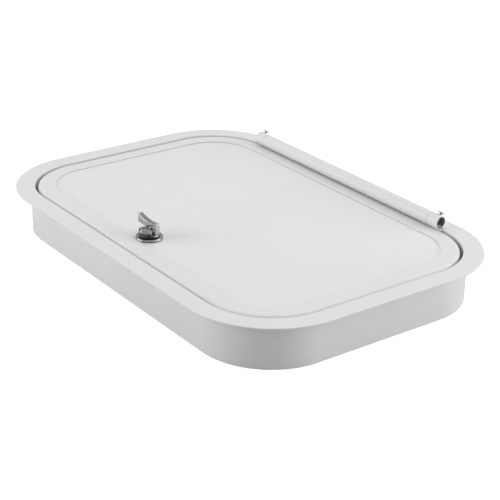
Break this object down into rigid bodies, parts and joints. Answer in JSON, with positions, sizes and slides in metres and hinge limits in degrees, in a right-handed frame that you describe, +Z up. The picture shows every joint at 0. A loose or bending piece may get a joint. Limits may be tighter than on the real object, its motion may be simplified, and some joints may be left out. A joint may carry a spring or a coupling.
{
  "type": "deck hatch",
  "caption": "Flush deck hatch: white rounded frame with gutter and seal, flush lid on a long tube hinge, wing lock with key cylinder and cam.",
  "frame": {"origin": "middle of the frame's lower edge, on the plane that the hatch stands on", "axes": "+X along the hinge and the longer side, +Y from the lock to the hinge, +Z up through the lid"},
  "size_m": [0.642, 0.44, 0.0903],
  "materials": {
    "white_paint": "semi-gloss white powder coat on aluminium",
    "stainless_steel": "plain stainless steel",
    "polished_chrome": "polished plating, slightly clouded",
    "black_rubber": "matt black rubber",
    "white_nylon": "natural nylon"
  },
  "bodies": {
    "hatch_frame": {"drain_spigot_left": "white_nylon", "drain_spigot_right": "white_nylon", "frame": "white_paint", "frame_seal": "black_rubber", "hinge_knuckle_left": "white_paint", "hinge_knuckle_right": "white_paint", "hinge_rod": "stainless_steel", "knuckle_bush_left": "white_nylon", "knuckle_bush_right": "white_nylon", "stop_screw_left": "stainless_steel", "stop_screw_right": "stainless_steel", "stop_screw_spacer_left": "stainless_steel", "stop_screw_spacer_right": "stainless_steel", "strike_plate": "stainless_steel", "strike_screw_left": "stainless_steel", "strike_screw_right": "stainless_steel", "thrust_washer_left": "white_nylon", "thrust_washer_right": "white_nylon"},
    "hatch_lid": {"lid_border": "white_paint", "lid_plate": "white_paint", "hinge_tube": "white_paint", "lid_bush_left": "white_nylon", "lid_bush_right": "white_nylon", "lock_body": "polished_chrome", "lock_gasket": "black_rubber", "lock_washer": "stainless_steel", "lock_nut": "stainless_steel", "leaf_screw_1": "stainless_steel", "leaf_screw_2": "stainless_steel", "leaf_screw_3": "stainless_steel", "leaf_screw_4": "stainless_steel", "leaf_screw_5": "stainless_steel", "leaf_screw_6": "stainless_steel"},
    "lock_handle": {"wing_handle": "polished_chrome", "key_cylinder": "polished_chrome", "spindle": "stainless_steel", "cam_arm": "stainless_steel", "cam_spacer": "white_nylon", "cam_washer": "stainless_steel", "cam_bolt": "stainless_steel", "hub_ring": "black_rubber"},
    "lock_key": {"key_plug": "polished_chrome"}
  },
  "joints": [
    {"name": "lid_hinge", "type": "hinge", "parent": "hatch_frame", "child": "hatch_lid", "pos_m": [-0.0045, 0.19, 0.0765], "axis": [-1, 0, 0], "range_deg": [0, 110]},
    {"name": "handle_turn", "type": "hinge", "parent": "hatch_lid", "child": "lock_handle", "pos_m": [0, -0.1455, 0.066], "axis": [0, 0, 1], "range_deg": [0, 90]},
    {"name": "key_turn", "type": "hinge", "parent": "lock_handle", "child": "lock_key", "pos_m": [0, -0.15, 0.076], "axis": [0, 0, 1], "range_deg": [0, 90]}
  ]
}
